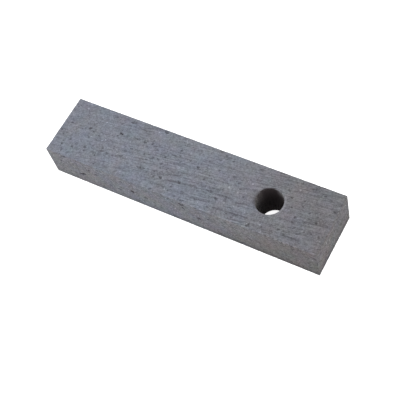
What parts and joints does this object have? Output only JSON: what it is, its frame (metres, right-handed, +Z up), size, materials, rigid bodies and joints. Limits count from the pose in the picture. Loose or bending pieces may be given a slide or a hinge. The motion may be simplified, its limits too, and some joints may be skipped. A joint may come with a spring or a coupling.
{
  "type": "stove fire brick",
  "caption": "Narrow rectangular refractory brick with eased arrises and a round hole straight through it near an end, for lining a stove's firebox.",
  "frame": {"origin": "middle of the bed face that the brick lies on", "axes": "+X along the length towards the end with the hole, +Y across the width, +Z up from the bed to the hot face, along the hole"},
  "size_m": [0.2286, 0.0508, 0.0318],
  "materials": {
    "refractory": "matte fired refractory, fine grained, with small pits and short drag marks"
  },
  "bodies": {
    "root": {"fire_brick": "refractory"}
  },
  "joints": []
}
